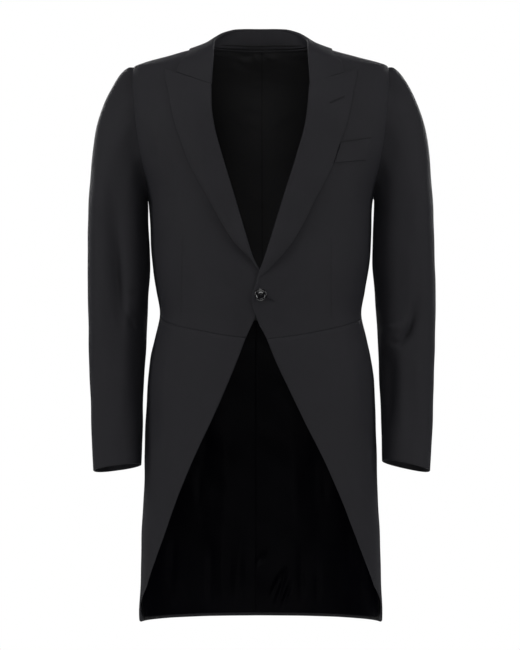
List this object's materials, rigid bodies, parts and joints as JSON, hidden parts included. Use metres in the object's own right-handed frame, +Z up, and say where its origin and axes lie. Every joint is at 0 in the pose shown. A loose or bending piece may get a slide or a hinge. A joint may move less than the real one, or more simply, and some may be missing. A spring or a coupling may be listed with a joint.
{
  "type": "morning coat",
  "caption": "Black single-breasted morning coat with notched lapels, a breast pocket and cutaway tails, hollow and filled out as worn.",
  "frame": {"origin": "the nape: the neck seam at the centre of the back, where the worn coat hangs on the wearer's neck and shoulders", "axes": "+Z up, along the length of the coat; +X towards the wearer's left; the front of the coat faces -Y"},
  "size_m": [0.5771, 0.2608, 0.9951],
  "materials": {
    "wool": "fine matt black wool",
    "lining": "smooth black satin",
    "button": "polished black"
  },
  "bodies": {
    "root": {"forepart_left": "wool", "forepart_right": "wool", "side_body_left": "wool", "side_body_right": "wool", "back_left": "wool", "back_right": "wool", "skirt_left": "wool", "skirt_right": "wool", "lapel_left": "wool", "lapel_right": "wool", "collar_fall": "wool", "collar_stand": "wool", "top_sleeve_left": "wool", "top_sleeve_right": "wool", "under_sleeve_left": "wool", "under_sleeve_right": "wool", "breast_welt": "wool", "back_lining": "lining", "skirt_lining_left": "lining", "skirt_lining_right": "lining", "front_button": "button"}
  },
  "joints": []
}
